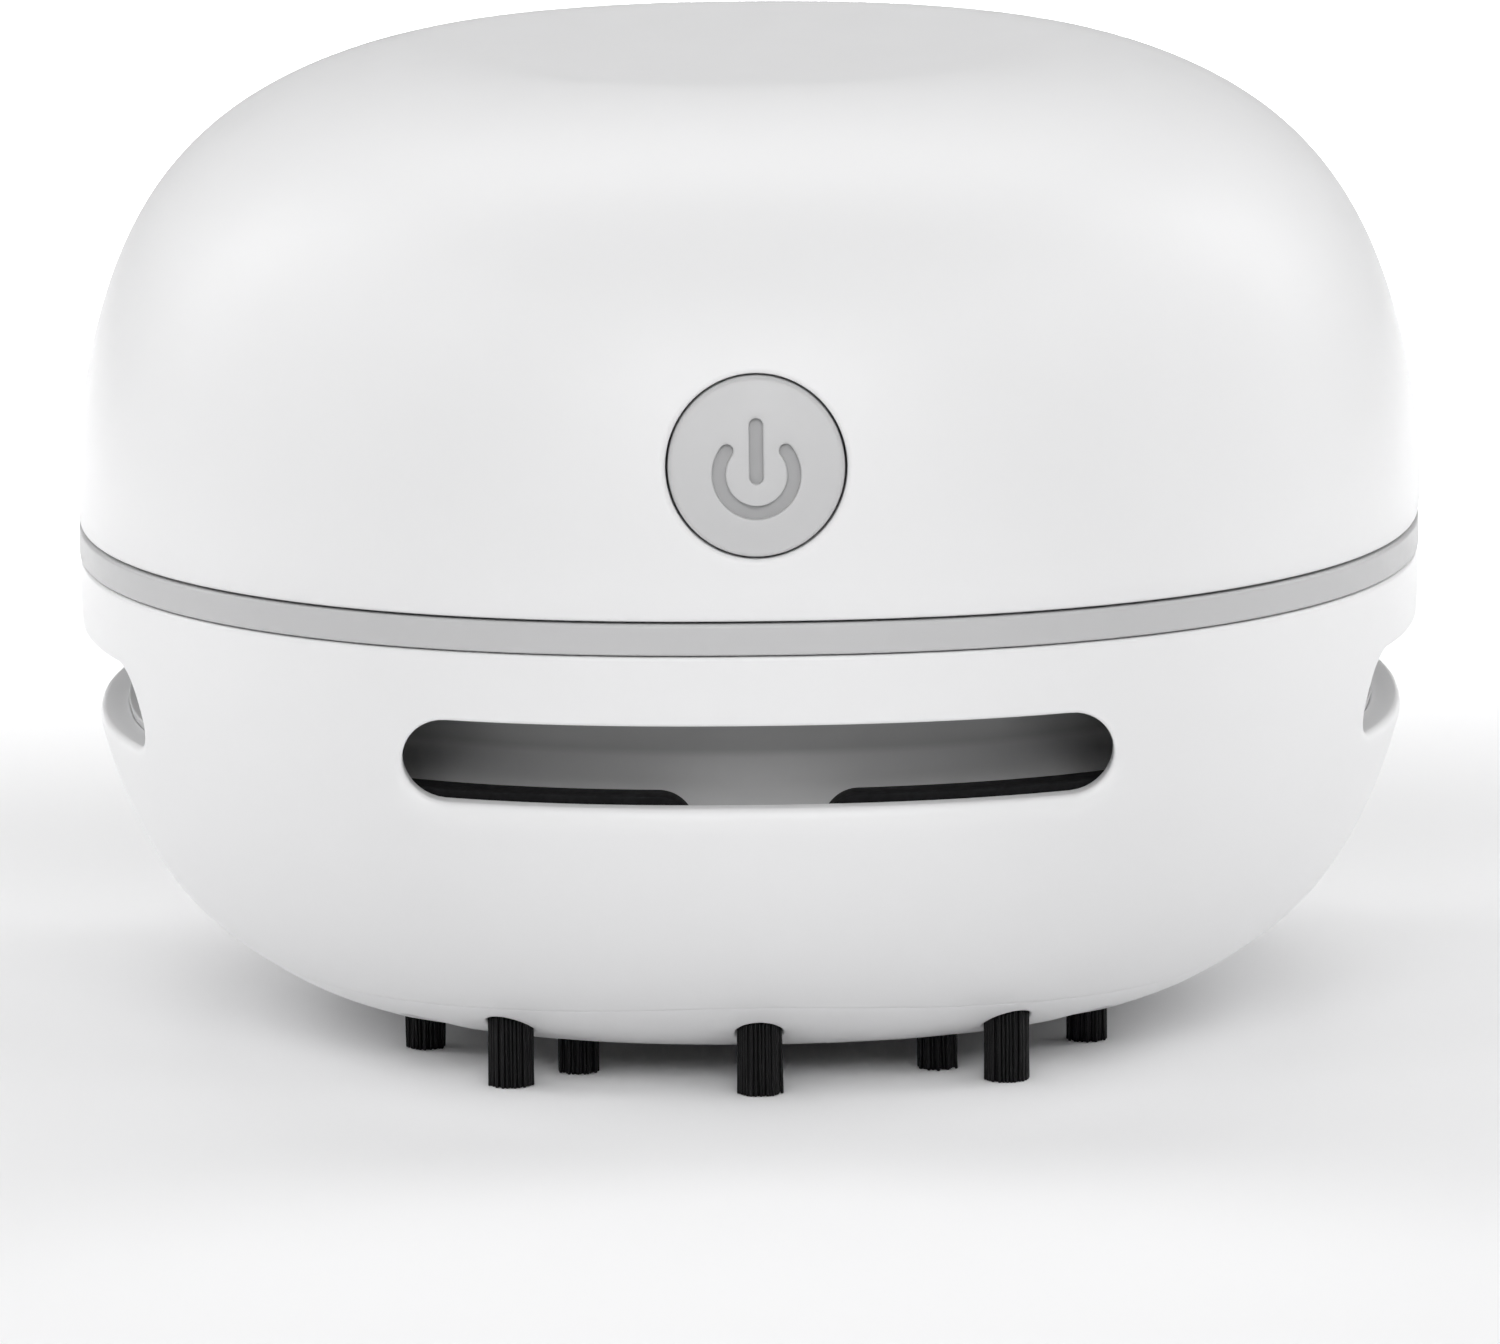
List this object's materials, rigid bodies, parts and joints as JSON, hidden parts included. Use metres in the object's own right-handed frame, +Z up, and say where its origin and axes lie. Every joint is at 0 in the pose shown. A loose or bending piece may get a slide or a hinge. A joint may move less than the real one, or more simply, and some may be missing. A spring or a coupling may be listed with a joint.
{
  "type": "desktop mini vacuum cleaner",
  "caption": "Palm-size rounded-square desktop vacuum cleaner with side vents, push button, lift-off dust unit, battery cover and bristles under the base.",
  "frame": {"origin": "centre of the outline on the plane of the bristle tips", "axes": "+Z up, -Y is the front with the power button, +X to the right seen from the front"},
  "size_m": [0.0852, 0.0852, 0.0615],
  "materials": {
    "shell_white": "satin gloss moulded",
    "trim_grey": "satin",
    "button_grey": "satin",
    "symbol_grey": "matte",
    "inner_grey": "satin moulded",
    "chassis_white": "satin moulded",
    "foam_black": "matte",
    "rubber_black": "matte",
    "bristle_black": "nylon filament",
    "screw_steel": "zinc plated",
    "motor_steel": "nickel plated",
    "shaft_steel": "ground",
    "bush_bronze": "sintered",
    "end_cap_plastic": "matte",
    "contact_metal": "nickel plated",
    "magnet": "sintered ferrite",
    "lamination": "stacked",
    "copper": "enamelled wire",
    "impeller_white": "matte",
    "cell_sleeve": "printed sleeve",
    "board_green": "solder mask",
    "switch_black": "moulded",
    "plunger_white": "moulded",
    "filter_cloth": "nonwoven",
    "wire_red": "insulation",
    "wire_black": "insulation"
  },
  "bodies": {
    "dust_unit": {"lower_shell": "shell_white", "shell_ledge": "shell_white", "base_plate": "shell_white", "inlet_nozzle": "shell_white", "outer_bristles": "bristle_black", "inner_bristles": "bristle_black", "base_screws": "screw_steel", "dust_cup": "inner_grey", "cup_floor": "inner_grey", "cup_posts": "inner_grey", "inlet_tube": "inner_grey", "inlet_gasket": "rubber_black", "filter_frame": "inner_grey", "filter_pad": "filter_cloth", "vent_strips": "foam_black", "side_fillers": "inner_grey"},
    "motor_unit": {"trim_ring": "trim_grey", "chassis": "chassis_white", "fan_housing": "inner_grey", "cup_seal": "rubber_black", "housing_screws": "screw_steel", "fan_guard": "inner_grey", "motor_can": "motor_steel", "motor_bush": "bush_bronze", "motor_end_cap": "end_cap_plastic", "motor_terminals": "contact_metal", "motor_magnets": "magnet", "motor_holder": "chassis_white", "holder_screws": "screw_steel", "battery_tray": "chassis_white", "tray_screws": "screw_steel", "cell_left": "cell_sleeve", "cell_right": "cell_sleeve", "link_contact": "contact_metal", "positive_contact": "contact_metal", "negative_contact": "contact_metal", "switch_board": "board_green", "switch_body": "switch_black", "wire_supply": "wire_red", "wire_switched": "wire_red", "wire_return": "wire_black"},
    "top_cover": {"top_shell": "shell_white"},
    "button": {"power_button": "button_grey", "power_symbol": "symbol_grey"},
    "plunger": {"switch_plunger": "plunger_white"},
    "rotor": {"impeller": "impeller_white", "motor_shaft": "shaft_steel", "armature_core": "lamination", "armature_coils": "copper", "commutator": "copper"}
  },
  "joints": [
    {"name": "unit_lift", "type": "slide", "parent": "dust_unit", "child": "motor_unit", "axis": [0, 0, 1], "range_m": [0, 0.045]},
    {"name": "cover_lift", "type": "slide", "parent": "motor_unit", "child": "top_cover", "axis": [0, 0, 1], "range_m": [0, 0.035]},
    {"name": "button_press", "type": "slide", "parent": "top_cover", "child": "button", "axis": [0, 1, 0], "range_m": [0, 0.0015], "stiffness_N_per_m": 800, "springref_m": -0.0005},
    {"name": "plunger_press", "type": "slide", "parent": "motor_unit", "child": "plunger", "axis": [0, 1, 0], "range_m": [0, 0.0015]},
    {"name": "fan_spin", "type": "hinge", "parent": "motor_unit", "child": "rotor", "pos_m": [0, 0, 0.0271], "axis": [0, 0, 1], "continuous": true}
  ],
  "couplings": [
    {"joint": "plunger_press", "follows": "button_press", "ratio": 1}
  ]
}
